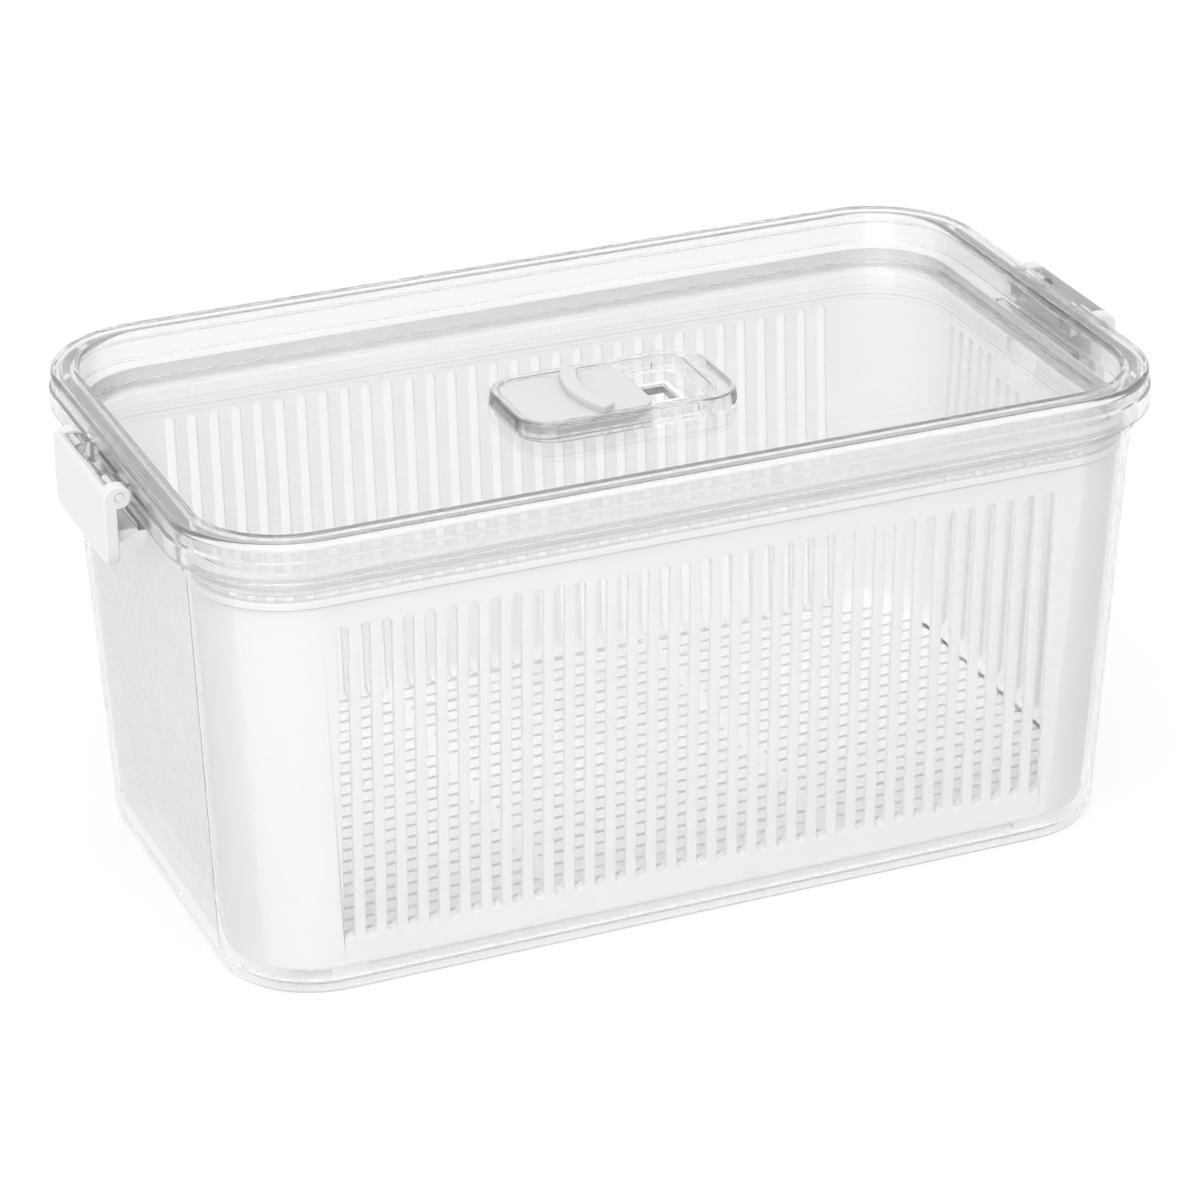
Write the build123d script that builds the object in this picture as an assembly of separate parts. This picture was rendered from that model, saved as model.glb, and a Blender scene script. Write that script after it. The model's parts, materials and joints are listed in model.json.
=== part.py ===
"""Airtight food storage container: clear outer box, slotted drain basket, sealed lid
with a sliding vent, and two swing latches.

Millimetres, +Z up. The origin is the middle of the flat base on which the box stands,
+X runs to the right along the long side and -Y is the front.
"""

import os
from math import radians, sqrt, tan

from build123d import *

# Outer box
base_length = 302.8
base_width = 165.5
corner_radius = 32.2
box_height = 155.8
wall_draft = 2.5  # degrees from upright
box_wall = 2.2
floor_thickness = 2.4
foot_height = 1.0
foot_inset = 12.0
base_edge_chamfer = 2.6
inner_edge_chamfer = 2.5

# Collar round the mouth of the box, and the catch ledge under it at each end
collar_height = 15.1
collar_step = 1.4
mouth_chamfer = 0.6
catch_reach = 3.4
catch_height = 4.0
catch_width = 54.0
catch_edge = 0.8

# Drain basket
basket_side_gap = 1.6
basket_wall = 1.8
basket_floor = 2.0
basket_base = 6.4  # height of the underside of its bottom edge
basket_rim_drop = 19.3  # how far its rim lies below the mouth of the box
basket_skirt = 8.6  # how far the bottom edge stands below the floor plate
skirt_width = 3.2
basket_edge_chamfer = 2.2
basket_corner_chamfer = 6.0  # inside, where the walls meet the floor
rim_lip = 0.9
rim_lip_height = 2.6
foot_pad_length = 12.0
foot_pad_width = 3.6
foot_pad_from_end = 33.4  # middle of the pad in from the end of the base
foot_pad_overhang = 1.6  # how far the pad stands inside the skirt
foot_pad_taper = 4.0
seat_gap = 0.3

# Slots in the basket walls
slot_width = 3.5
slot_end_chamfer = 1.1
slot_cut_depth = 14.0  # each way from the foot of the wall, past its lean
slot_top_margin = 10.5  # wall left between the slots and the rim
front_slots = 35
front_pitch = 6.95
back_slots = 32
back_pitch = 7.6
end_slots = 15
end_pitch = 7.0
notch_web = 4.5  # wall left between the thumb notch and the slots under it

# Drain slots in the basket floor
drain_row_pitch = 7.1
drain_edge_margin = 1.0  # middle of the outermost row in from the skirt
drain_columns = 3
drain_gap = 5.0
drain_width = 1.6

# Thumb notch in each end of the basket
notch_width = 21.5
notch_depth = 12.0

# Lid
skirt_gap = 2.0
skirt_wall = 2.2
skirt_bottom_drop = 9.8  # below the mouth of the box
skirt_top_drop = 2.3
rim_inset = 0.7
rim_edge_chamfer = 1.0
rim_width = 8.5
rim_chamfer = 1.6
rim_thickness = 2.8
panel_drop = 12.3  # top of the sunk panel below the mouth of the box
panel_thickness = 2.4
recess_depth_in = 12.4  # how far in from the lid's edge the tray wall meets the panel
panel_edge_margin = 3.0  # the sunk panel is a plate of its own inside this margin
panel_overlap = 0.25  # how far that plate reaches into the ring round it
plug_clearance = 1.5  # between the plug and the rim of the basket
plug_wall = 1.8
groove_inset = 10.4
tray_wall_top_inset = 8.2
vent_port_length = 8.0
vent_port_width = 12.0
vent_port_x = 21.0

# Lid gasket
gasket_end_gap = 0.3
gasket_height = 8.3
gasket_base = 0.5
gasket_lips = 3
lip_gap = 0.3
lip_tip_share = 0.62  # how far up its own share of the height a lip's tip stands
lip_root_share = 0.8

# Vent housing on the lid panel
housing_length = 76.0
housing_width = 46.0
housing_x = 5.0
housing_height = 5.6
housing_corner_radius = 13.0
housing_draft = 6.0
housing_edge_chamfer = 0.6
track_start = -30.0  # left end of the slider track
track_end = 34.5
track_width = 36.4
track_corner_radius = 8.0
groove_depth = 1.4
groove_low = 0.8
groove_high = 3.2

# Vent slider
slider_length = 43.0
slider_gap = 0.3
slider_top_drop = 0.5
slider_corner_radius = 7.5
thumb_rib_width = 5.6
thumb_rib_height = 2.6
thumb_rib_radius = 38.0
thumb_rib_x = -7.6
thumb_rib_length = 34.5
thumb_rib_chamfer = 0.9

# Vent seal
seal_width = 1.6
seal_height = 0.8
seal_margin = 0.6

# Latches
latch_width = 53.0
pivot_offset = 4.06  # pin centre out from the lid's skirt
pivot_drop = 3.2  # pin centre below the mouth of the box
ear_radius = 3.6
ear_width = 5.0
latch_face = 5.1  # outer face of the plate, out from the pin
plate_inner = 1.0  # inner face of the plate, out from the pin
top_flat = 1.2  # flat stretch over the pin before the plate curves down
top_curve_out = 0.86  # middle of that curve, as shares of the face and the ear radius
top_curve_up = 0.55
latch_skin = 1.5
latch_drop = 24.4  # pin centre down to the tip
tip_height = 3.4
tip_setback = 1.5
tip_round = 0.9
latch_corner_radius = 7.0
latch_end_wall = 3.0
centre_rib = 3.0
pocket_floor = 5.0
pocket_roof = 1.2
hook_bite = 2.0
hook_height = 4.4
hook_nose = 0.8
hook_end_gap = 0.4
pin_radius = 1.4
pin_clearance = 0.05
lug_width = 8.0
lug_gap = 0.4
lug_radius = 2.6
lug_clearance = 0.7
lug_root_depth = 5.4  # root of the lug below the pin centre
lug_root_rise = 1.8

# Worked out from the sizes above
draft_slope = tan(radians(wall_draft))
floor_top = foot_height + floor_thickness
collar_bottom = box_height - collar_height
basket_rim = box_height - basket_rim_drop
floor_plate_low = basket_base + basket_skirt
floor_plate_high = floor_plate_low + basket_floor
slot_bottom = floor_plate_high
slot_top = basket_rim - slot_top_margin
lid_underside = box_height + seat_gap
lid_height = lid_underside + rim_thickness
skirt_bottom = box_height - skirt_bottom_drop
skirt_top = box_height - skirt_top_drop
panel_top = box_height - panel_drop
panel_underside = panel_top - panel_thickness
plug_bottom = basket_rim + plug_clearance
gasket_bottom = plug_bottom + gasket_end_gap
groove_top = gasket_bottom + gasket_height + gasket_end_gap
housing_top = panel_top + housing_height
pivot_height = box_height - pivot_drop


def wall_growth(height):
    """How far each wall of the box stands out at a height, against the base."""
    return height * draft_slope


def half_size_at(height, inset):
    """Half length and half width of the box's wall at a height, moved inwards by inset."""
    grow = wall_growth(height) - inset
    return base_length / 2 + grow, base_width / 2 + grow


def drafted_block(low, high, inset):
    """A block with the box's draft and rounded corners between two heights."""
    half_x, half_y = half_size_at(high, inset)
    block = Pos(0, 0, low) * Box(
        2 * half_x, 2 * half_y, high - low, align=(Align.CENTER, Align.CENTER, Align.MIN)
    )
    walls = block.faces().filter_by(Axis.Z, reverse=True)
    block = draft(walls, Plane((0, 0, high)), -wall_draft)
    corners = block.edges().filter_by(lambda edge: edge.bounding_box().size.Z > (high - low) / 2)
    return fillet(corners, corner_radius - inset)


def bottom_edges(part, height, tolerance=0.05):
    return part.edges().filter_by(
        lambda edge: abs(edge.bounding_box().min.Z - height) < tolerance
        and abs(edge.bounding_box().max.Z - height) < tolerance
    )


def mirrored_pair(part):
    """The part and its mirror image at the other end of the box."""
    return [part, mirror(part, about=Plane.YZ)]


collar_half_x, collar_half_y = half_size_at(collar_bottom, -collar_step)
lid_half_x = collar_half_x + skirt_gap + skirt_wall
lid_half_y = collar_half_y + skirt_gap + skirt_wall
lid_corner_radius = corner_radius + collar_step + skirt_gap + skirt_wall
pivot_x = lid_half_x + pivot_offset


def make_outer_box():
    body = drafted_block(0, box_height, 0)
    body = chamfer(bottom_edges(body, 0), base_edge_chamfer)
    collar = drafted_block(collar_bottom, box_height, -collar_step)
    catch = Pos(collar_half_x, 0, collar_bottom) * Box(
        2 * catch_reach, catch_width, catch_height,
        align=(Align.CENTER, Align.CENTER, Align.MIN),
    )
    outer_face = catch.faces().sort_by(Axis.X)[-1]
    catch = chamfer(outer_face.edges(), catch_edge)
    body = body + collar
    for piece in mirrored_pair(catch):
        body = body + piece
    hollow = drafted_block(floor_top, box_height + 1, box_wall)
    hollow = chamfer(bottom_edges(hollow, floor_top), inner_edge_chamfer)
    body = body - hollow
    body = chamfer(bottom_edges(body, box_height), mouth_chamfer)
    foot_recess = extrude(
        RectangleRounded(
            base_length - 2 * foot_inset,
            base_width - 2 * foot_inset,
            corner_radius - foot_inset / 2,
        ),
        foot_height,
    )
    return body - foot_recess


basket_inset = box_wall + basket_side_gap


def slot_shape(low, high):
    """A slot's outline, upright, narrowing to its ends, centred on its own width."""
    slot = Pos(0, (low + high) / 2) * Rectangle(slot_width, high - low)
    return chamfer(slot.vertices(), slot_end_chamfer)


def row_positions(count, pitch):
    return [(index - (count - 1) / 2) * pitch for index in range(count)]


def long_wall_slots(count, pitch, side):
    """Slots through one long wall: side is -1 at the front and 1 at the back."""
    plane = Plane.XZ.offset(-side * base_width / 2)
    shape = slot_shape(slot_bottom, slot_top)
    faces = [plane * Pos(x, 0) * shape for x in row_positions(count, pitch)]
    return [extrude(face, slot_cut_depth, both=True) for face in faces]


def end_wall_slots(side):
    """Slots through one end wall, shorter where they run under the thumb notch."""
    plane = Plane.YZ.offset(side * base_length / 2)
    notch_floor = basket_rim - notch_depth
    cutters = []
    for y in row_positions(end_slots, end_pitch):
        under_notch = abs(y) < notch_width / 2 + slot_width
        high = notch_floor - notch_web if under_notch else slot_top
        face = plane * Pos(y, 0) * slot_shape(slot_bottom, high)
        cutters.append(extrude(face, slot_cut_depth, both=True))
    return cutters


def drain_reach(y):
    """How far from the middle a row of drain slots runs before it meets the skirt."""
    half_x, half_y = half_size_at(basket_base, basket_inset + skirt_width)
    radius = corner_radius - basket_inset - skirt_width
    beyond = max(abs(y) - (half_y - radius), 0)
    return half_x - radius + sqrt(radius**2 - beyond**2) - drain_gap / 2


def drain_slots():
    """Rows of long thin slots through the basket floor, with ribs left between them."""
    _, half_y = half_size_at(basket_base, basket_inset + skirt_width)
    rows = int(2 * (half_y - drain_edge_margin) / drain_row_pitch) + 1
    rib_pitch = 2 * drain_reach(0) / drain_columns
    rib_places = row_positions(drain_columns - 1, rib_pitch)
    height = 2 * (basket_corner_chamfer + basket_floor)
    cutters = []
    for y in row_positions(rows, drain_row_pitch):
        reach = drain_reach(abs(y) + drain_width / 2)
        starts = [-reach] + [x + drain_gap / 2 for x in rib_places]
        ends = [x - drain_gap / 2 for x in rib_places] + [reach]
        for start, end in zip(starts, ends):
            cutters.append(
                Pos((start + end) / 2, y, floor_plate_low)
                * Box(end - start, drain_width, height)
            )
    return cutters


def make_drain_basket():
    body = drafted_block(basket_base, basket_rim, basket_inset)
    body = chamfer(bottom_edges(body, basket_base), basket_edge_chamfer)
    body = body + drafted_block(basket_rim - rim_lip_height, basket_rim, basket_inset - rim_lip)
    hollow = drafted_block(floor_plate_high, basket_rim + 1, basket_inset + basket_wall)
    hollow = chamfer(bottom_edges(hollow, floor_plate_high), basket_corner_chamfer)
    body = body - hollow
    half_x, half_y = half_size_at(basket_base, basket_inset + skirt_width)
    under = Pos(0, 0, basket_base) * extrude(
        RectangleRounded(2 * half_x, 2 * half_y, corner_radius - basket_inset - skirt_width),
        basket_skirt,
    )
    body = body - under
    notch_radius = notch_width / 2
    notch_centre = basket_rim - notch_depth + notch_radius
    notch = Pos(0, notch_centre) * Circle(notch_radius) + Pos(0, notch_centre) * Rectangle(
        notch_width, notch_depth, align=(Align.CENTER, Align.MIN)
    )
    cutters = [extrude(Plane.YZ * notch, base_length, both=True)]
    cutters += long_wall_slots(front_slots, front_pitch, -1)
    cutters += long_wall_slots(back_slots, back_pitch, 1)
    cutters += end_wall_slots(-1) + end_wall_slots(1)
    cutters += drain_slots()
    body = body - cutters
    pad_x = base_length / 2 - foot_pad_from_end
    pad_y = half_y - foot_pad_overhang + foot_pad_width / 2
    pad_top = basket_base + basket_edge_chamfer
    pad_height = pad_top - floor_top - seat_gap
    for x in (-pad_x, pad_x):
        for y in (-pad_y, pad_y):
            pad = Pos(x, y, pad_top) * extrude(
                Rectangle(foot_pad_length, foot_pad_width), -pad_height, taper=foot_pad_taper
            )
            body = body + pad
    return body


def lid_ring(profile_points):
    """Sweep a closed outline round the lid; points are (distance in from the edge, height)."""
    path = Wire(RectangleRounded(2 * lid_half_x, 2 * lid_half_y, lid_corner_radius).wire().edges())
    plane = Plane(origin=(0, -lid_half_y, 0), x_dir=(0, 1, 0), z_dir=(1, 0, 0))
    return sweep(plane * make_face(Polyline(*profile_points, close=True)), path=path)


def make_lid():
    half_panel = recess_depth_in + panel_edge_margin
    outline_points = [
        (0, skirt_bottom),
        (0, skirt_top - rim_inset),
        (rim_inset, skirt_top),
        (rim_inset, lid_height - rim_edge_chamfer),
        (rim_inset + rim_edge_chamfer, lid_height),
        (rim_width, lid_height),
        (rim_width + rim_chamfer, lid_height - rim_chamfer),
        (recess_depth_in, panel_top),
        (half_panel, panel_top),
        (half_panel, panel_underside),
        (groove_inset + plug_wall, panel_underside),
        (groove_inset + plug_wall, plug_bottom),
        (groove_inset, plug_bottom),
        (groove_inset, groove_top),
        (tray_wall_top_inset, lid_underside),
        (skirt_wall, lid_underside),
        (skirt_wall, skirt_bottom),
    ]
    ring = lid_ring(outline_points)
    panel = Pos(0, 0, panel_underside) * extrude(
        RectangleRounded(
            2 * (lid_half_x - half_panel + panel_overlap),
            2 * (lid_half_y - half_panel + panel_overlap),
            lid_corner_radius - half_panel + panel_overlap,
        ),
        panel_thickness,
    )
    body = ring + panel
    for lug in hinge_lugs():
        body = body + lug
    port = Pos(vent_port_x, 0, panel_underside) * extrude(
        Rectangle(vent_port_length, vent_port_width), panel_thickness
    )
    return body - port


def ear_inner_y():
    return latch_width / 2 - ear_width


def hinge_lugs():
    """Four clear lugs that carry the latch pins, two at each end of the lid."""
    root_x = lid_half_x - skirt_wall / 2 - pivot_x
    half = lug_radius * tan(radians(22.5))
    outline = Polyline(
        (root_x, -lug_root_depth),
        (-half, -lug_radius),
        (half, -lug_radius),
        (lug_radius, -half),
        (lug_radius, half),
        (half, lug_radius),
        (-half, lug_radius),
        (root_x, lug_root_rise),
        close=True,
    )
    shape = make_face(outline) - Circle(pin_radius + pin_clearance)
    lug = extrude(latch_plane() * shape, lug_width / 2, both=True)
    offset = ear_inner_y() - lug_gap - lug_width / 2
    near = Pos(0, -offset, 0) * lug
    far = Pos(0, offset, 0) * lug
    return mirrored_pair(near) + mirrored_pair(far)


def make_lid_gasket():
    inner = groove_inset
    root = groove_inset - gasket_base
    points = [(inner, gasket_bottom), (root, gasket_bottom)]
    pitch = gasket_height / gasket_lips
    for index in range(gasket_lips):
        low = gasket_bottom + index * pitch
        tip_height = low + lip_tip_share * pitch
        wall_y = half_size_at(tip_height, box_wall)[1]
        tip = lid_half_y - wall_y + lip_gap
        points += [(tip, tip_height), (root, low + lip_root_share * pitch)]
    points += [(root, gasket_bottom + gasket_height), (inner, gasket_bottom + gasket_height)]
    return lid_ring(points)


def rail_block(low, high, reach, start, end):
    """A straight block across both guide grooves, measured up from the lid panel."""
    return Pos((start + end) / 2, 0, panel_top + low) * Box(
        end - start, track_width + 2 * reach, high - low,
        align=(Align.CENTER, Align.CENTER, Align.MIN),
    )


def make_vent_housing():
    """The frame on the lid panel: an open track with a guide groove along each side."""
    body = Pos(housing_x, 0, panel_top) * extrude(
        RectangleRounded(housing_length, housing_width, housing_corner_radius),
        housing_height,
        taper=housing_draft,
    )
    body = chamfer(body.faces().sort_by(Axis.Z)[-1].edges(), housing_edge_chamfer)
    length = track_end - track_start
    track = Pos((track_start + track_end) / 2, 0, panel_top) * extrude(
        RectangleRounded(length, track_width, track_corner_radius), housing_height
    )
    groove = rail_block(
        groove_low, groove_high, groove_depth,
        track_start + track_corner_radius, track_end - track_corner_radius,
    )
    return body - track - groove


def make_vent_slider():
    """The sliding cover: a plate with a guide rail on each side and a crescent for the thumb."""
    left = track_start + slider_gap
    right = left + slider_length
    bottom = panel_top + groove_low + slider_gap
    top = housing_top - slider_top_drop
    plate = Pos((left + right) / 2, 0, bottom) * extrude(
        RectangleRounded(slider_length, track_width - 2 * slider_gap, slider_corner_radius),
        top - bottom,
    )
    plate = chamfer(plate.faces().sort_by(Axis.Z)[-1].edges(), slider_gap)
    rail = rail_block(
        groove_low + slider_gap, groove_high - slider_gap, groove_depth - slider_gap,
        track_start + track_corner_radius + slider_gap, right - slider_corner_radius,
    )
    ring = Circle(thumb_rib_radius) - Circle(thumb_rib_radius - thumb_rib_width)
    window = Pos(-thumb_rib_radius, 0) * Rectangle(thumb_rib_radius, thumb_rib_length)
    centre_x = thumb_rib_x - thumb_rib_width / 2 + thumb_rib_radius
    rib = Pos(centre_x, 0, top) * extrude(ring & window, thumb_rib_height)
    rib = chamfer(rib.faces().sort_by(Axis.Z)[-1].edges(), thumb_rib_chamfer)
    return plate + rail + rib


def make_vent_seal():
    """A flat ring of silicone on the panel, round the port and under the slider."""
    inner_length = vent_port_length + 2 * seal_margin
    inner_width = vent_port_width + 2 * seal_margin
    outer = Rectangle(inner_length + 2 * seal_width, inner_width + 2 * seal_width)
    outer = chamfer(outer.vertices(), seal_width / 2)
    ring = outer - Rectangle(inner_length, inner_width)
    return Pos(vent_port_x, 0, panel_top) * extrude(ring, seal_height)


def latch_plane():
    """A side-view plane at the right-hand pin: x runs outwards from the pin and y upwards."""
    return Plane((pivot_x, 0, pivot_height), x_dir=(1, 0, 0), z_dir=(0, -1, 0))


def latch_side_view():
    """The latch plate seen along its pin, rounded over the pin and at the tip."""
    low = -latch_drop
    tip_x = latch_face - tip_setback
    face = make_face(
        [
            Line((plate_inner, 0), (0, 0)),
            Line((0, 0), (0, ear_radius)),
            Line((0, ear_radius), (top_flat, ear_radius)),
            ThreePointArc(
                (top_flat, ear_radius),
                (top_curve_out * latch_face, top_curve_up * ear_radius),
                (latch_face, 0),
            ),
            Line((latch_face, 0), (latch_face, low + tip_height)),
            Line((latch_face, low + tip_height), (tip_x, low)),
            Line((tip_x, low), (plate_inner, low + tip_setback)),
            Line((plate_inner, low + tip_setback), (plate_inner, 0)),
        ]
    )
    low_corners = face.vertices().sort_by(Axis.Y)[:3]
    return chamfer(low_corners, tip_round)


def hook_outline():
    """The wedge that snaps under the catch ledge, seen along the pin."""
    catch_x = collar_half_x + catch_reach
    tip_x = catch_x - hook_bite - pivot_x
    top = collar_bottom - seat_gap - pivot_height
    root_x = plate_inner + latch_skin / 2
    return make_face(
        Polyline(
            (root_x, top),
            (tip_x, top),
            (tip_x, top - hook_nose),
            (plate_inner, top - hook_height),
            (root_x, top - hook_height),
            close=True,
        )
    )


def make_latch_right():
    plane = latch_plane()
    half_width = latch_width / 2
    latch = extrude(plane * latch_side_view(), half_width, both=True)
    ears = extrude(plane * Circle(ear_radius), half_width, both=True)
    latch = latch + ears
    room_x = pivot_x + lug_radius + lug_clearance
    lug_room = Pos(room_x, 0, pivot_height - ear_radius - lug_clearance) * Box(
        4 * ear_radius, 2 * ear_inner_y(), 4 * ear_radius,
        align=(Align.MAX, Align.CENTER, Align.MIN),
    )
    latch = latch - lug_room
    pocket_high = pivot_height - ear_radius - lug_clearance - pocket_roof
    pocket_low = pivot_height - latch_drop + pocket_floor
    pocket_width = half_width - latch_end_wall - centre_rib / 2
    pocket_y = (centre_rib + pocket_width) / 2
    pocket = extrude(
        Plane.YZ.offset(pivot_x)
        * Rectangle(pocket_width, pocket_high - pocket_low),
        latch_face - latch_skin,
    )
    for y in (-pocket_y, pocket_y):
        latch = latch - Pos(0, y, (pocket_high + pocket_low) / 2) * pocket
    hook_length = latch_width - 2 * (latch_end_wall + hook_end_gap)
    latch = latch + extrude(plane * hook_outline(), hook_length / 2, both=True)
    low = pivot_height - latch_drop
    rounded_front = Plane.YZ.offset(pivot_x) * RectangleRounded(
        latch_width, 4 * latch_drop, latch_corner_radius, align=(Align.CENTER, Align.MIN)
    )
    latch = latch & Pos(0, 0, low) * extrude(rounded_front, 4 * ear_radius, both=True)
    return latch - extrude(plane * Circle(pin_radius + pin_clearance), half_width, both=True)


def make_latch_pins_right():
    start = ear_inner_y() - lug_gap - lug_width
    length = latch_width / 2 - start
    pin = Cylinder(pin_radius, length, align=(Align.CENTER, Align.CENTER, Align.MIN))
    far = Pos(pivot_x, start, pivot_height) * Rot(-90, 0, 0) * pin
    near = Pos(pivot_x, -start, pivot_height) * Rot(90, 0, 0) * pin
    return Compound([far.solid(), near.solid()])


def main():
    latch_right = make_latch_right()
    pins_right = make_latch_pins_right()
    nodes = {
        "outer_box": make_outer_box(),
        "drain_basket": make_drain_basket(),
        "lid": make_lid(),
        "lid_gasket": make_lid_gasket(),
        "vent_housing": make_vent_housing(),
        "vent_slider": make_vent_slider(),
        "vent_seal": make_vent_seal(),
        "right_latch": latch_right,
        "left_latch": mirror(latch_right, about=Plane.YZ),
        "right_latch_pins": pins_right,
        "left_latch_pins": mirror(pins_right, about=Plane.YZ),
    }
    os.makedirs("parts", exist_ok=True)
    for name, part in nodes.items():
        part.label = name
        export_step(part, f"parts/{name}.step")
        print(name, "volume", round(part.volume), "mm3")


main()
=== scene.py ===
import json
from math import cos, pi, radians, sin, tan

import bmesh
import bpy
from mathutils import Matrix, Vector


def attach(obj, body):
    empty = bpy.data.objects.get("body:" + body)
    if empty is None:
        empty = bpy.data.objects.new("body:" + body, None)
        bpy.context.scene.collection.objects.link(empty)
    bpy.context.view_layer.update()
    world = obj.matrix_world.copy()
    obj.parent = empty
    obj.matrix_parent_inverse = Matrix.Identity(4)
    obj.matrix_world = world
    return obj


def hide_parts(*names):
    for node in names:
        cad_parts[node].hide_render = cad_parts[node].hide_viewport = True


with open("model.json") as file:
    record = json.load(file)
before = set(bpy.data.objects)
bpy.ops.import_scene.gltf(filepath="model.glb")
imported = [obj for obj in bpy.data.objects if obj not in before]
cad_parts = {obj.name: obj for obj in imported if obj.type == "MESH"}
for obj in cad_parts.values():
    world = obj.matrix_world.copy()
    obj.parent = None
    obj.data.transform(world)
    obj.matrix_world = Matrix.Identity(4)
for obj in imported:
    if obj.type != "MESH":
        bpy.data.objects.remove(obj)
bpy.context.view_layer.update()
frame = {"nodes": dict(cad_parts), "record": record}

# %% [markdown]
# A clear food box with a drain basket
#
# The real thing is a moulded fridge container: a clear box, a white slotted basket that
# stands in it, a clear lid with a soft seal and a sliding vent, and a swing latch at each
# end. The CAD frame is in metres, with the box standing on z = 0. Sizes below are in
# millimetres, as a moulder writes them, and become metres in one place, the helper `mm`.


def mm(*values):
    return Vector(values) / 1000


nodes = frame["nodes"]
print("nodes in the frame:", sorted(nodes))

# %% [markdown]
# Materials
#
# The box and lid are clear plastic, the basket a satin white, the seal a dull grey
# silicone, and the latches and the slider a glossier plastic. Pictures could be laid on
# them, but they would need unwrapping and would blur close up. Shader nodes that read the
# object's own coordinates give each finish at any distance. The helpers below start a
# material, lay noise over a piece, do one sum and mix two shaders.

# %% Helpers for shader nodes
def principled(name, color, roughness, **sockets):
    """A new material, its node tree and its main shader."""
    material = bpy.data.materials.new(name)
    material.use_nodes = True
    tree = material.node_tree
    shader = tree.nodes["Principled BSDF"]
    shader.inputs["Base Color"].default_value = (*color, 1)
    shader.inputs["Roughness"].default_value = roughness
    for socket, value in sockets.items():
        shader.inputs[socket.replace("_", " ")].default_value = value
    return material, tree, shader


def noise_over_piece(tree, scale, detail):
    place = tree.nodes.new("ShaderNodeTexCoord")
    noise = tree.nodes.new("ShaderNodeTexNoise")
    noise.inputs["Scale"].default_value = scale
    noise.inputs["Detail"].default_value = detail
    tree.links.new(place.outputs["Object"], noise.inputs["Vector"])
    return noise.outputs["Fac"]


def calculated(tree, operation, first, second=None):
    """One sum. Each side is another node's socket or a plain number."""
    node = tree.nodes.new("ShaderNodeMath")
    node.operation = operation
    for socket, value in zip(node.inputs, (first, second)):
        if isinstance(value, bpy.types.NodeSocket):
            tree.links.new(value, socket)
        elif value is not None:
            socket.default_value = value
    return node.outputs[0]


def show_mix(tree, share, first, second):
    """The surface becomes the first shader with a share of the second."""
    mix = tree.nodes.new("ShaderNodeMixShader")
    tree.links.new(share, mix.inputs["Fac"])
    tree.links.new(first, mix.inputs[1])
    tree.links.new(second, mix.inputs[2])
    tree.links.new(mix.outputs["Shader"], tree.nodes["Material Output"].inputs["Surface"])


# %% [markdown]
# Clear plastic
#
# Light bends where it enters the plastic and where it leaves, and a little is mirrored. A
# mix of a transparent and a glossy shader could stand in for that, but transmission with
# the plastic's own refractive index bends the light as the real wall does. Shadow rays
# stop at such a shader, which would leave the basket dark, so they are let through. A
# small share of all rays goes straight on too, because what stands behind several clear
# walls would still come out too dark. The gloss wanders a little, as on a handled box.

# %% Clear plastic
def let_light_through(tree, shader, tint, straight):
    """Shadow rays pass the clear plastic, and a share of all rays goes straight on."""
    light_path = tree.nodes.new("ShaderNodeLightPath")
    passed = tree.nodes.new("ShaderNodeBsdfTransparent")
    passed.inputs["Color"].default_value = (*tint, 1)
    share = calculated(tree, "MAXIMUM", light_path.outputs["Is Shadow Ray"], straight)
    show_mix(tree, share, shader.outputs["BSDF"], passed.outputs["BSDF"])


def handled(tree, shader, least, most):
    """Faintly uneven gloss, as on plastic that has been wiped and handled."""
    usual_low, usual_high = 0.35, 0.75
    spread = tree.nodes.new("ShaderNodeMapRange")
    spread.inputs["From Min"].default_value = usual_low
    spread.inputs["From Max"].default_value = usual_high
    spread.inputs["To Min"].default_value = least
    spread.inputs["To Max"].default_value = most
    tree.links.new(noise_over_piece(tree, scale=35, detail=4), spread.inputs["Value"])
    tree.links.new(spread.outputs["Result"], shader.inputs["Roughness"])


clear, tree, shader = principled(
    "clear plastic", (0.99, 0.99, 0.99), 0.01, Transmission_Weight=1.0, IOR=1.45
)
handled(tree, shader, least=0.0, most=0.02)
let_light_through(tree, shader, tint=(0.98, 0.98, 0.98), straight=0.08)
print("made:", clear.name)

# %% [markdown]
# White and grey mouldings
#
# Each of these is one colour all through, with the very fine waviness that a mould leaves.
# The waviness could be modelled, but it is a millimetre or two across and hardly any
# depth, so it only bends the light. A bump does the same without a single extra face.

# %% White and grey mouldings
def moulded(name, color, roughness, grain_scale, grain_strength):
    grain_depth = 0.0002
    material, tree, shader = principled(name, color, roughness)
    bump = tree.nodes.new("ShaderNodeBump")
    bump.inputs["Strength"].default_value = grain_strength
    bump.inputs["Distance"].default_value = grain_depth
    tree.links.new(noise_over_piece(tree, grain_scale, detail=2), bump.inputs["Height"])
    tree.links.new(bump.outputs["Normal"], shader.inputs["Normal"])
    print("made:", name)
    return material


basket_white = moulded(
    "white basket", (0.93, 0.93, 0.928), roughness=0.35, grain_scale=900, grain_strength=0.08
)
silicone = moulded(
    "silicone", (0.84, 0.84, 0.845), roughness=0.4, grain_scale=700, grain_strength=0.1
)
latch_white = moulded(
    "latch white", (0.69, 0.69, 0.69), roughness=0.18, grain_scale=500, grain_strength=0.04
)
slider_grey = moulded(
    "slider grey", (0.61, 0.61, 0.61), roughness=0.25, grain_scale=500, grain_strength=0.04
)

# %% [markdown]
# An outline led round
#
# The box, basket, lid, gasket and vent parts all run round a rounded rectangle. They could
# be cut from blocks, but then every corner would need its own care. A moulder thinks of
# such a wall as one outline led round a path. So an outline in a plane has its corners
# rounded with a vertex bevel, is extruded along half the back, spun round a quarter turn
# for the corner, extruded along half the end, and mirrored twice.

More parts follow.
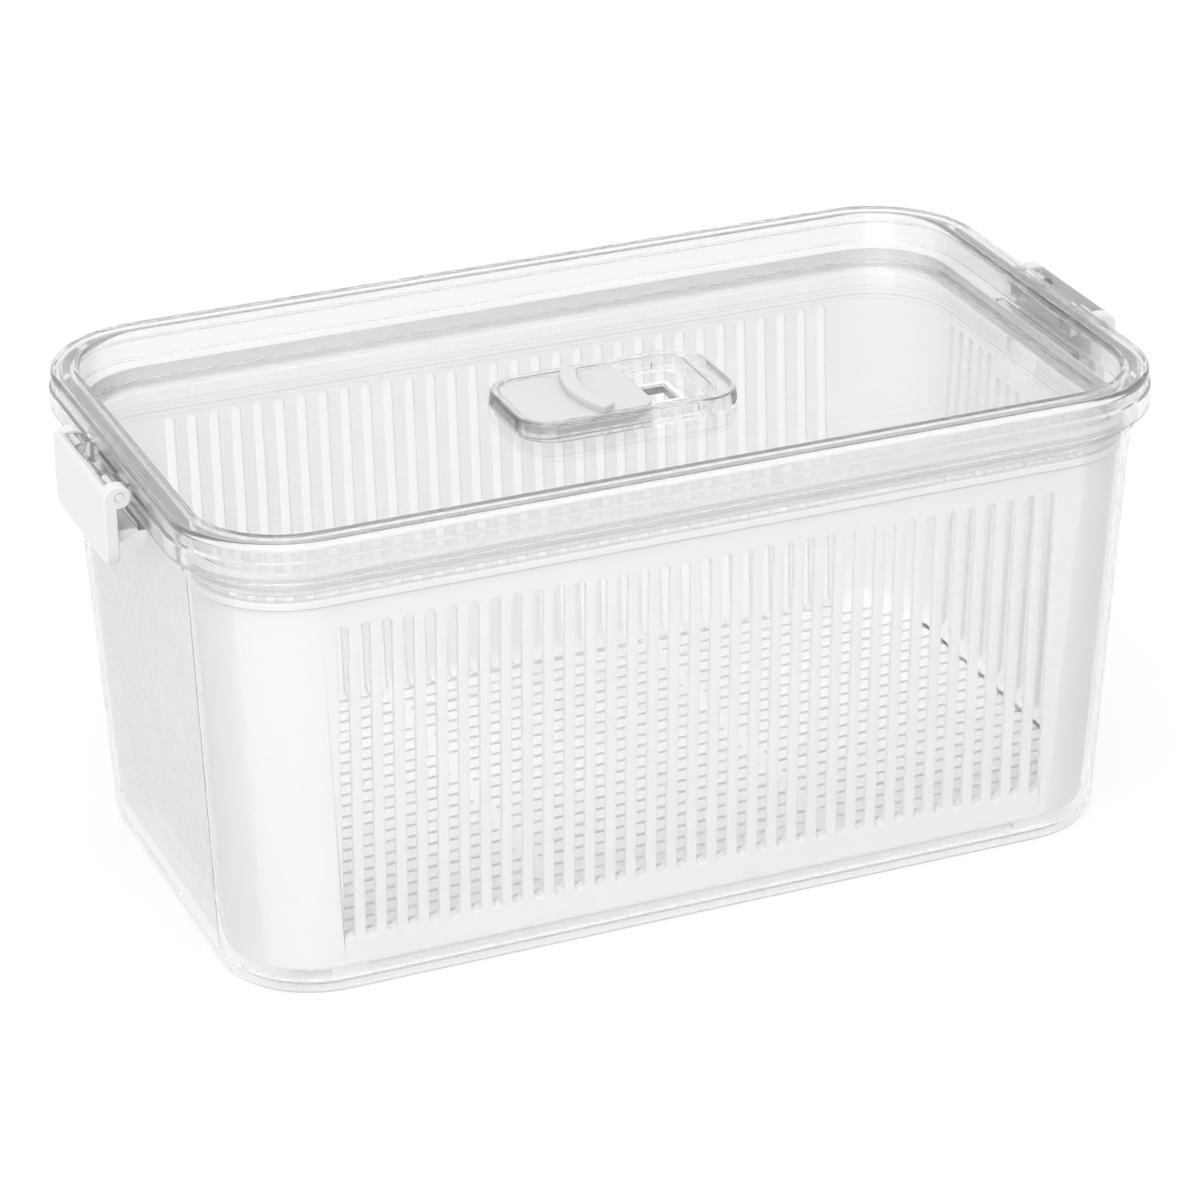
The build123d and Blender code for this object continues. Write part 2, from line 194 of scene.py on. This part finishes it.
# %% The outline
def rounded_outline(points, back, closed):
    """Points are (distance in from the edge, height, rounding) in millimetres."""
    builder = bmesh.new()
    outline = []
    for inset, height, _ in points:
        outline.append(builder.verts.new(mm(0, back - inset, height)))
    for first, second in zip(outline, outline[1:]):
        builder.edges.new((first, second))
    if closed:
        builder.edges.new((outline[-1], outline[0]))
    for amount in sorted({point[2] for point in points if point[2]}):
        corners = [vertex for vertex, point in zip(outline, points) if point[2] == amount]
        bmesh.ops.bevel(
            builder, geom=corners, offset=amount / 1000, offset_type="OFFSET",
            segments=2 if amount < 1 else 5, profile=0.5, affect="VERTICES", material=-1,
        )
    return builder


# %% Led round a quarter of the way
hair = 1e-6


def only(parts, kind):
    return [part for part in parts if isinstance(part, kind)]


def quarter_ring(builder, half, radius):
    made = bmesh.ops.extrude_edge_only(builder, edges=builder.edges[:])["geom"]
    moved = only(made, bmesh.types.BMVert)
    bmesh.ops.translate(builder, vec=mm(half[0] - radius, 0, 0), verts=moved)
    last = moved + [
        edge for edge in only(made, bmesh.types.BMEdge)
        if all(vertex.co.x > hair for vertex in edge.verts)
    ]
    spun = bmesh.ops.spin(
        builder, geom=last, cent=mm(half[0] - radius, half[1] - radius, 0), axis=(0, 0, 1),
        angle=-pi / 2, steps=12, use_merge=False, use_normal_flip=False, use_duplicate=False,
    )["geom_last"]
    made = bmesh.ops.extrude_edge_only(builder, edges=only(spun, bmesh.types.BMEdge))["geom"]
    moved = only(made, bmesh.types.BMVert)
    bmesh.ops.translate(builder, vec=mm(0, radius - half[1], 0), verts=moved)


# %% The whole ring
def ring(points, half, radius, lean=0.0, closed=False, centre=(0, 0, 0)):
    """Half sizes, radius and centre are in millimetres, and lean is how far out a wall goes
    for each unit of height. An open outline has flat middles filled in at its two ends."""
    builder = rounded_outline(points, half[1], closed)
    quarter_ring(builder, half, radius)
    for across in (0, 1):
        shear = Matrix.Identity(4)
        shear[across][2] = lean
        moved = [vertex for vertex in builder.verts if vertex.co[across] > hair]
        bmesh.ops.transform(builder, matrix=shear, verts=moved)
    for axis in ("X", "Y"):
        whole = builder.verts[:] + builder.edges[:] + builder.faces[:]
        bmesh.ops.mirror(
            builder, geom=whole, matrix=Matrix.Identity(4), merge_dist=hair, axis=axis
        )
    bmesh.ops.remove_doubles(builder, verts=builder.verts, dist=hair / 10)
    if not closed:
        open_edges = [edge for edge in builder.edges if edge.is_boundary]
        bmesh.ops.holes_fill(builder, edges=open_edges, sides=0)
    bmesh.ops.translate(builder, vec=mm(*centre), verts=builder.verts)
    bmesh.ops.recalc_face_normals(builder, faces=builder.faces)
    return builder


# %% [markdown]
# Shapes to cut with and to add
#
# Slots, notches, ledges and lugs are plain solids that are taken from a wall or welded to
# it. The slots could be drawn into the wall's faces, but the wall leans and the slots
# stand upright, so a round-ended bar pushed through the wall gives them their true edge.

# %% A block
def block(builder, low, high):
    middle = (Vector(low) + Vector(high)) / 2
    size = Vector(high) - Vector(low)
    place = Matrix.Translation(mm(*middle)) @ Matrix.Diagonal((*mm(*size), 1))
    return bmesh.ops.create_cube(builder, size=1, matrix=place)["verts"]


# %% A long bar with round ends
def bar(builder, low, high, width, across, depth, axis, middle):
    """Upright from low to high, pushed along X or Y for a depth to each side of middle."""
    sides = 16
    made = bmesh.ops.create_circle(
        builder, cap_ends=True, segments=sides, radius=width / 2000,
        matrix=Matrix.Rotation(pi / sides, 4, "Z"),
    )["verts"]
    upper = [vertex for vertex in made if vertex.co.y > 0]
    bmesh.ops.translate(builder, vec=mm(0, high - low - width, 0), verts=upper)
    face = made[0].link_faces[0]
    pushed = bmesh.ops.extrude_face_region(builder, geom=[face])["geom"]
    pushed = only(pushed, bmesh.types.BMVert)
    bmesh.ops.translate(builder, vec=mm(0, 0, 2 * depth), verts=pushed)
    if axis == "Y":
        turn = Matrix(((1, 0, 0), (0, 0, 1), (0, 1, 0)))
        spot = (across, middle - depth, low + width / 2)
    else:
        turn = Matrix(((0, 0, 1), (1, 0, 0), (0, 1, 0)))
        spot = (middle - depth, across, low + width / 2)
    place = Matrix.Translation(mm(*spot)) @ turn.to_4x4()
    bmesh.ops.transform(builder, matrix=place, verts=made + pushed)


# %% From a bmesh to an object, and one object cut or welded with another
def as_object(builder, name, material):
    bmesh.ops.recalc_face_normals(builder, faces=builder.faces)
    mesh = bpy.data.meshes.new(name)
    builder.to_mesh(mesh)
    builder.free()
    piece = bpy.data.objects.new(name, mesh)
    bpy.context.scene.collection.objects.link(piece)
    mesh.materials.append(material)
    return piece


def combined(piece, other_builder, kind):
    """Cut the other shape out of the piece, or weld it on."""
    other = as_object(other_builder, "tool", clear)
    change = piece.modifiers.new("change", "BOOLEAN")
    change.operation = kind
    change.solver = "EXACT"
    change.object = other
    bpy.context.view_layer.update()
    seen = piece.evaluated_get(bpy.context.evaluated_depsgraph_get())
    mesh = bpy.data.meshes.new_from_object(seen)
    piece.modifiers.clear()
    piece.data = mesh
    bpy.data.objects.remove(other)


# %% A finished piece
body_of_node = {
    node: body
    for body, members in frame["record"]["behaviour"]["bodies"].items()
    for node in members
}


def finish(piece, node, edge=0.0):
    """Round the sharp edges, keep flat faces flat, and tie the piece to its node."""
    mesh = piece.data
    if edge:
        bevel = piece.modifiers.new("rounded edges", "BEVEL")
        bevel.width = edge / 1000
        bevel.segments = 2
        bevel.limit_method = "ANGLE"
        bevel.angle_limit = radians(35)
        bevel.use_clamp_overlap = False
    mesh.polygons.foreach_set("use_smooth", [True] * len(mesh.polygons))
    mesh.set_sharp_from_angle(angle=radians(60))
    even = piece.modifiers.new("even shading", "WEIGHTED_NORMAL")
    even.keep_sharp = True
    even.weight = 100
    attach(piece, body_of_node[node])
    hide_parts(node)
    print(piece.name, len(mesh.polygons), "faces")


# %% [markdown]
# Outer box
#
# One clear shell, 2.2 mm thick and leaning out by 2.5 degrees so that it leaves its mould,
# with a thicker collar round the mouth and a ledge at each end for the latch to hook under.
# A hollowed block would need its wall thickness set again at every corner. One outline
# that goes up the outside and down the inside sets it once.

# %% Outer box
wall_lean = tan(radians(2.5))
box_half = (151.4, 82.75)
box_radius = 32.2
wall, box_floor = 2.2, 3.4
foot_rim, foot_hollow = 12, 1.0
collar_low, collar_out, mouth = 140.7, 1.4, 155.8
box_outline = [
    (foot_rim + 4, foot_hollow, 0), (foot_rim, foot_hollow, 0.3), (foot_rim, 0, 0.3),
    (0, 0, 2.4), (0, collar_low, 0.2), (-collar_out, collar_low, 0.4),
    (-collar_out, mouth, 0.6), (wall, mouth, 0.6), (wall, box_floor, 2.5), (10, box_floor, 0),
]
box_shell = as_object(ring(box_outline, box_half, box_radius, wall_lean), "clear_box", clear)

# %% Ledges for the latches, and the finished box
ledge_x, ledge_half, ledge_reach = 159.6, 2.7, 27
ledge_low, ledge_top, ledge_rounding = 140.75, 144.7, 0.7
ledges = bmesh.new()
for side in (-1, 1):
    block(
        ledges, (side * ledge_x - ledge_half, -ledge_reach, ledge_low),
        (side * ledge_x + ledge_half, ledge_reach, ledge_top),
    )
bmesh.ops.bevel(
    ledges, geom=ledges.edges[:], offset=ledge_rounding / 1000, offset_type="OFFSET",
    segments=2, profile=0.5, affect="EDGES", material=-1,
)
combined(box_shell, ledges, "UNION")
finish(box_shell, "outer_box")

# %% [markdown]
# Drain basket
#
# A white shell on small feet, just inside the box, with a raised floor and slots all round
# for the water. Slots could be bridged into the wall one by one, but the rows at the front,
# at the back and at the ends differ only in count and pitch. So all the bars are made first
# and taken away in one cut, and a small bevel then breaks the edges, as a mould would.

# %% Basket shell
basket_out, basket_in, basket_rim_out = 3.8, 5.6, 2.9
skirt_low, basket_under, basket_floor = 6.4, 15, 17
rim_low, rim_top = 133.9, 136.5
basket_outline = [
    (12, basket_under, 0), (7, basket_under, 0.4), (7, skirt_low, 0.4),
    (basket_out, skirt_low, 2.2), (basket_out, rim_low, 0.2), (basket_rim_out, rim_low, 0.25),
    (basket_rim_out, rim_top, 0.5), (basket_in, rim_top, 0.5), (basket_in, basket_floor, 6),
    (18, basket_floor, 0),
]
basket = as_object(
    ring(basket_outline, box_half, box_radius, wall_lean), "basket", basket_white
)

# %% Slots in its walls
def row(count, pitch):
    return [(index - (count - 1) / 2) * pitch for index in range(count)]


slot_low, slot_top, slot_width, slot_depth = 17.05, 126, 3.5, 14
top_below_notch, notch_reach = 120, 14.25
front_slots, back_slots, end_slots = row(35, 6.95), row(32, 7.6), row(15, 7.0)
cutters = bmesh.new()
for x in front_slots:
    bar(cutters, slot_low, slot_top, slot_width, x, slot_depth, "Y", -box_half[1])
for x in back_slots:
    bar(cutters, slot_low, slot_top, slot_width, x, slot_depth, "Y", box_half[1])
for y in end_slots:
    top = top_below_notch if abs(y) < notch_reach else slot_top
    for side in (-1, 1):
        bar(cutters, slot_low, top, slot_width, y, slot_depth, "X", side * box_half[0])
combined(basket, cutters, "DIFFERENCE")
print("wall slots:", len(front_slots) + len(back_slots) + 2 * len(end_slots))

# %% Thumb notches and drain slots
notch_low, notch_width, above_rim, past_both_ends = 124.5, 21.5, 170, 180
floor_x, floor_y, floor_radius, floor_margin = 144.68, 76.03, 25.2, 2.5
drain_rows, drain_pitch = 22, 7.1
drain_half, drain_low, drain_high = 0.8, 10, 24.5
rib_near, rib_far = 45.3, 50.3
cutters = bmesh.new()
bar(cutters, notch_low, above_rim, notch_width, 0, past_both_ends, "X", 0)
drains = 0
for y in row(drain_rows, drain_pitch):
    beyond = max(abs(y) + drain_half - (floor_y - floor_radius), 0)
    reach = floor_x - floor_radius + (floor_radius**2 - beyond**2) ** 0.5 - floor_margin
    stops = [-reach, -rib_far, -rib_near, rib_near, rib_far, reach]
    for left, right in zip(stops[::2], stops[1::2]):
        block(
            cutters, (left, y - drain_half, drain_low), (right, y + drain_half, drain_high)
        )
        drains += 1
combined(basket, cutters, "DIFFERENCE")
print("drain slots:", drains)

# %% Feet, and the finished basket
foot_low, foot_top = 3.7, 8.6
foot_x, foot_y = 118, 76.23
foot_long, foot_thick = 6, 1.8
taper = (0.94, 0.8, 1)
builder = bmesh.new()
builder.from_mesh(basket.data)
for x in (-foot_x, foot_x):
    for y in (-foot_y, foot_y):
        foot = block(
            builder, (x - foot_long, y - foot_thick, foot_low),
            (x + foot_long, y + foot_thick, foot_top),
        )
        low = [vertex for vertex in foot if vertex.co.z * 1000 < (foot_low + foot_top) / 2]
        bmesh.ops.scale(
            builder, vec=taper, verts=low, space=Matrix.Translation(-mm(x, y, 0))
        )
builder.to_mesh(basket.data)
builder.free()
finish(basket, "drain_basket", edge=0.3)

# %% [markdown]
# Lid
#
# A clear tray: an outer skirt, a raised rim, a wall that drops to the sunk panel and a plug
# wall under it that carries the seal. It could be stacked up from four rings, but the faces
# between them would show through the clear plastic. One outline has no such faces.

# %% Lid tray, with the vent port through its panel
lid_half = (163.14, 94.49)
lid_radius = 37.8
lid_top, panel_top, panel_under = 158.9, 143.5, 141.1
skirt_in, skirt_foot = 2.2, 146
plug_in, plug_out, plug_foot = 12.2, 10.4, 138
lid_outline = [
    (19, panel_under, 0), (plug_in, panel_under, 0.4), (plug_in, plug_foot, 0.5),
    (plug_out, plug_foot, 0.5), (plug_out, 146.9, 0.3), (8.2, 156.1, 0.4),
    (skirt_in, 156.1, 0.4), (skirt_in, skirt_foot, 0.5), (0, skirt_foot, 0.6),
    (0, 152.8, 0.3), (0.7, 153.5, 0.25), (0.7, lid_top, 1.3), (9.4, lid_top, 1.4),
    (12.4, panel_top, 1.1), (19, panel_top, 0),
]
lid = as_object(ring(lid_outline, lid_half, lid_radius), "clear_lid", clear)
port_left, port_right, port_reach = 17, 25, 6
port_low, port_high = 138, 146
port = bmesh.new()
block(port, (port_left, -port_reach, port_low), (port_right, port_reach, port_high))
combined(lid, port, "DIFFERENCE")

# %% Hinge lugs, and the finished lid
pin_x, pin_z = 167.203, 152.6
lug_middle, lug_half, lug_radius = 17.1, 4, 2.6
bore_radius, bore_length = 1.45, 60
root_x, root_low, root_high = 162.05, 147.2, 154.4
along_y = Matrix.Rotation(pi / 2, 4, "X")
lugs = bmesh.new()
bores = bmesh.new()
for side in (-1, 1):
    for y in (-lug_middle, lug_middle):
        hull = []
        for end in (y - lug_half, y + lug_half):
            place = Matrix.Translation(mm(side * pin_x, end, pin_z)) @ along_y
            hull += bmesh.ops.create_circle(
                lugs, segments=32, radius=lug_radius / 1000, matrix=place
            )["verts"]
            for z in (root_low, root_high):
                hull.append(lugs.verts.new(mm(side * root_x, end, z)))
        bmesh.ops.convex_hull(lugs, input=hull)
    place = Matrix.Translation(mm(side * pin_x, 0, pin_z)) @ along_y
    bmesh.ops.create_cone(
        bores, cap_ends=True, segments=32, radius1=bore_radius / 1000,
        radius2=bore_radius / 1000, depth=bore_length / 1000, matrix=place,
    )
combined(lid, lugs, "UNION")
combined(lid, bores, "DIFFERENCE")
finish(lid, "lid")

# %% [markdown]
# Gasket
#
# A soft grey ring round the plug, with three lips that reach for the wall of the box. Three
# thin rings on a band could do it, but the real one is a single moulding, so its outline
# is a saw edge of three teeth. Its inner face stands 0.1 mm off the plug: two faces in one
# place render dark, because a ray can't tell which of them it meets first.

# %% Gasket
gasket_in, gasket_out = plug_out - 0.1, plug_out - 0.5
gasket_low, gasket_high = 138.3, 146.6
lips, lip_clearance = 3, 0.3
pitch = (gasket_high - gasket_low) / lips
tip_up, valley_up = 0.62 * pitch, 0.8 * pitch
gasket_outline = [(gasket_in, gasket_low, 0), (gasket_out, gasket_low, 0)]
for index in range(lips):
    low = gasket_low + index * pitch
    tip = low + tip_up
    box_inside = box_half[1] + tip * wall_lean - wall
    gasket_outline.append((lid_half[1] - box_inside + lip_clearance, tip, 0.2))
    gasket_outline.append((gasket_out, low + valley_up, 0))
gasket_outline += [(gasket_out, gasket_high, 0), (gasket_in, gasket_high, 0)]
gasket = as_object(
    ring(gasket_outline, lid_half, lid_radius, closed=True), "lip_gasket", silicone
)
finish(gasket, "lid_gasket")

# %% [markdown]
# Vent
#
# A clear frame stands on the sunk panel, and a light grey cover slides in it. The port at
# the right is open as the cover stands here, and the cover closes it further along. The
# frame is hollow underneath, as moulded frames are, so that light passes through its walls.
# It could be a block with a window cut in it, but such a cut can leave a stray face across
# the window. So the frame is one U-shaped outline led round, and then its window, which
# sits off the middle, is moved into place.

# %% Vent frame
def inset_from_edge(vertex, half, radius):
    """How far in from the rounded rectangle a vertex lies, in millimetres."""
    beyond_x = abs(vertex.co.x) * 1000 - (half[0] - radius)
    beyond_y = abs(vertex.co.y) * 1000 - (half[1] - radius)
    round_corner = (max(beyond_x, 0) ** 2 + max(beyond_y, 0) ** 2) ** 0.5
    return radius - round_corner - min(max(beyond_x, beyond_y), 0)


vent_x = 5
frame_half, frame_radius, frame_wall = (38, 23), 13, 4.8
frame_low, frame_top = panel_top + 0.02, panel_top + 5.6
hollow_out, hollow_in, hollow_top = 1.4, 3.2, frame_top - 0.8
frame_outline = [
    (0, frame_low, 0), (0.58, frame_top, 0.8), (frame_wall, frame_top, 0.3),
    (frame_wall, frame_low, 0), (hollow_in, frame_low, 0), (hollow_in, hollow_top, 0),
    (hollow_out, hollow_top, 0), (hollow_out, frame_low, 0),
]
frame_builder = ring(frame_outline, frame_half, frame_radius, closed=True)

# %% Its window and grooves
window_half, window_shift = 32.25, -2.75
groove_left, groove_right, groove_reach = -22, 26.5, 19.3
groove_low, groove_high = panel_top + 0.8, panel_top + 3.2
inner = [
    vertex for vertex in frame_builder.verts
    if inset_from_edge(vertex, frame_half, frame_radius) > (hollow_out + hollow_in) / 2
]
narrower = window_half / (frame_half[0] - frame_wall)
bmesh.ops.scale(frame_builder, vec=(narrower, 1, 1), verts=inner)
bmesh.ops.translate(frame_builder, vec=mm(window_shift, 0, 0), verts=inner)
bmesh.ops.translate(frame_builder, vec=mm(vent_x, 0, 0), verts=frame_builder.verts)
vent_frame = as_object(frame_builder, "vent_frame_clear", clear)
grooves = bmesh.new()
block(
    grooves, (groove_left, -groove_reach, groove_low),
    (groove_right, groove_reach, groove_high),
)
combined(vent_frame, grooves, "DIFFERENCE")
finish(vent_frame, "vent_housing")

# %% Sliding cover, with a tongue that runs in the grooves
cover_half, cover_radius, cover_x = (21.5, 17.9), 7.5, -8.2
cover_low, cover_high = panel_top + 1.1, panel_top + 5.1
tongue_left, tongue_right, tongue_reach, tongue_thick = -21.7, 5.8, 19, 1.8
cover_builder = ring(
    [(6, cover_low, 0), (0, cover_low, 0.3), (0, cover_high, 0.7), (6, cover_high, 0)],
    cover_half, cover_radius, centre=(cover_x, 0, 0),
)
block(
    cover_builder, (tongue_left, -tongue_reach, cover_low),
    (tongue_right, tongue_reach, cover_low + tongue_thick),
)

# %% [markdown]
# Thumb rib
#
# A crescent stands on the cover for the thumb to push. It could be one cylinder cut out of
# another, but its edges are easier to round when it is a short oblong swept along an arc,
# which is what a spin does.

# %% Thumb rib, and the finished cover
rib_x, rib_in, rib_out, rib_turn = 27.6, 32.4, 38, 29.3
rib_low, rib_high, rib_rounding = cover_high - 0.5, cover_high + 2.6, 0.9
corners = ((rib_in, rib_low), (rib_out, rib_low), (rib_out, rib_high), (rib_in, rib_high))
start = radians(180 - rib_turn)
crescent = bmesh.new()
oblong = crescent.faces.new([
    crescent.verts.new(mm(rib_x + radius * cos(start), radius * sin(start), z))
    for radius, z in corners
])
bmesh.ops.spin(
    crescent, geom=[oblong] + oblong.edges[:] + oblong.verts[:], cent=mm(rib_x, 0, 0),
    axis=(0, 0, 1), angle=radians(2 * rib_turn), steps=24, use_merge=False,
    use_duplicate=False,
)
bmesh.ops.recalc_face_normals(crescent, faces=crescent.faces)
sharp = [edge for edge in crescent.edges if edge.calc_face_angle(0) > 1]
bmesh.ops.bevel(
    crescent, geom=sharp, offset=rib_rounding / 1000, offset_type="OFFSET", segments=3,
    profile=0.5, affect="EDGES", material=-1,
)
rib_mesh = bpy.data.meshes.new("crescent")
crescent.to_mesh(rib_mesh)
crescent.free()
cover_builder.from_mesh(rib_mesh)
cover = as_object(cover_builder, "vent_cover", slider_grey)
finish(cover, "vent_slider")

# %% [markdown]
# Latches, pins and the vent seal
#
# Small solid pieces that have their right shape in the frame already. They could be drawn
# again, but all that they lack is soft edges. So a copy of each is merged, its flat
# triangles are joined, its edges rounded and its curved faces shaded smooth.

# %% Softened copies
def softened(node, name, material, edge):
    builder = bmesh.new()
    builder.from_mesh(nodes[node].data)
    bmesh.ops.remove_doubles(builder, verts=builder.verts, dist=hair)
    bmesh.ops.dissolve_limit(
        builder, angle_limit=radians(1), verts=builder.verts, edges=builder.edges
    )
    finish(as_object(builder, name, material), node, edge)


softened("vent_seal", "vent_ring", silicone, edge=0.1)
for side in ("left", "right"):
    softened(f"{side}_latch", f"{side}_clip", latch_white, edge=0.4)
    softened(f"{side}_latch_pins", f"{side}_clip_pins", latch_white, edge=0.15)

# %% [markdown]
# Studio floor
#
# The box stands on a pale floor that runs on as the background. A plain white floor could
# do, but it comes out grey wherever the lamps don't reach. So four fifths of it glow for
# rays from the camera, be they straight, mirrored or sent on by the clear plastic. The
# rest is matte and keeps a soft shadow. Under the box the glow is half as strong, which is
# painted shade: a fixed darker patch where the box stands.

# %% Which rays see the glow
def seen_directly(tree, share):
    """A share for rays from the camera, and for those that a piece mirrors or passes on."""
    path = tree.nodes.new("ShaderNodeLightPath")
    seen = path.outputs["Is Camera Ray"]
    for kind in ("Is Glossy Ray", "Is Transmission Ray"):
        seen = calculated(tree, "MAXIMUM", seen, path.outputs[kind])
    return calculated(tree, "MULTIPLY", seen, share)


# %% Where the glow is halved, a painted shade under the box
def glow_share_with_painted_shade_under_box(tree, half_x, half_y, least):
    """The least share under the box, a painted shade there, rising to 1 round it, from the
    floor's coordinates.
    """
    place = tree.nodes.new("ShaderNodeTexCoord")
    split = tree.nodes.new("ShaderNodeSeparateXYZ")
    tree.links.new(place.outputs["Object"], split.inputs[0])
    sides = []
    for axis, half in (("X", half_x), ("Y", half_y)):
        away = calculated(tree, "ABSOLUTE", split.outputs[axis])
        sides.append(calculated(tree, "DIVIDE", away, half))
    fade = tree.nodes.new("ShaderNodeMapRange")
    fade.inputs["From Min"].default_value = 0.85
    fade.inputs["From Max"].default_value = 1.0
    fade.inputs["To Min"].default_value = least
    tree.links.new(calculated(tree, "MAXIMUM", *sides), fade.inputs["Value"])
    return fade.outputs["Result"]


# %% Floor
floor_material = bpy.data.materials.new("pale floor")
floor_material.use_nodes = True
tree = floor_material.node_tree
tree.nodes.remove(tree.nodes["Principled BSDF"])
matte = tree.nodes.new("ShaderNodeBsdfDiffuse")
matte.inputs["Color"].default_value = (0.95, 0.95, 0.95, 1)
glow = tree.nodes.new("ShaderNodeEmission")
glow.inputs["Strength"].default_value = 1.0
# Halving the glow under the box paints a shade there, a darker patch in a fixed place.
share = calculated(
    tree, "MULTIPLY", seen_directly(tree, share=0.8),
    glow_share_with_painted_shade_under_box(tree, half_x=0.15, half_y=0.081, least=0.5),
)
show_mix(tree, share, matte.outputs["BSDF"], glow.outputs["Emission"])
floor_half = 3
mesh = bpy.data.meshes.new("floor")
builder = bmesh.new()
bmesh.ops.create_grid(builder, x_segments=1, y_segments=1, size=floor_half)
builder.to_mesh(mesh)
builder.free()
floor = bpy.data.objects.new("floor", mesh)
bpy.context.scene.collection.objects.link(floor)
mesh.materials.append(floor_material)
print("floor:", 2 * floor_half, "m wide")

# %% [markdown]
# Light
#
# Product pictures of clear boxes are lit from all round, so a plain white world gives most
# of the light. A picture of a studio could light it too, but its lamps would show in the
# clear walls. Two large soft lamps, to the front left and above, tell the faces apart.

# %% World
scene = bpy.context.scene
world = bpy.data.worlds.new("studio")
world.use_nodes = True
scene.world = world
background = world.node_tree.nodes["Background"]
background.inputs["Color"].default_value = (1, 1, 1, 1)
background.inputs["Strength"].default_value = 1.0

# %% Lamps
def soft_lamp(name, place, size, power, target=(0, 0, 0.08)):
    lamp = bpy.data.lights.new(name, "AREA")
    lamp.shape = "SQUARE"
    lamp.size = size
    lamp.energy = power
    holder = bpy.data.objects.new(name, lamp)
    scene.collection.objects.link(holder)
    holder.location = place
    holder.rotation_euler = (Vector(place) - Vector(target)).to_track_quat("Z", "Y").to_euler()
    print("lamp:", name, power, "W")


soft_lamp("front", (-0.7, -1.3, 0.5), size=1.1, power=3.6)
soft_lamp("overhead", (-0.35, -0.55, 1.3), size=0.8, power=6)

# %% [markdown]
# Camera
#
# It stands where the photograph was taken from. A camera set by eye would always be a
# little off, so this one is solved from the edges of the box in the photograph: its
# direction, its distance, and how far the picture's middle lies from the box's.

# %% Camera
focal_px = 4533.46
frame_px = 1200
sensor_width = 36
azimuth = radians(-22.458)
elevation = radians(25.499)
roll = radians(-0.732)
distance = 1475.14
aim_height = 80
shift_right = 0.284
shift_up = 4.931

back = Vector((sin(azimuth) * cos(elevation), -cos(azimuth) * cos(elevation), sin(elevation)))
level = Vector((cos(azimuth), sin(azimuth), 0))
right = level * cos(roll) + back.cross(level) * sin(roll)
up = back.cross(right)
lens = bpy.data.cameras.new("camera")
lens.sensor_width = sensor_width
lens.lens = focal_px / frame_px * sensor_width
camera = bpy.data.objects.new("camera", lens)
scene.collection.objects.link(camera)
turn = Matrix((right, up, back)).transposed()
place = mm(0, 0, aim_height) + mm(*(back * distance - right * shift_right - up * shift_up))
camera.matrix_world = Matrix.Translation(place) @ turn.to_4x4()
scene.camera = camera
scene.view_settings.view_transform = "Standard"
print("lens:", round(lens.lens, 1), "mm")
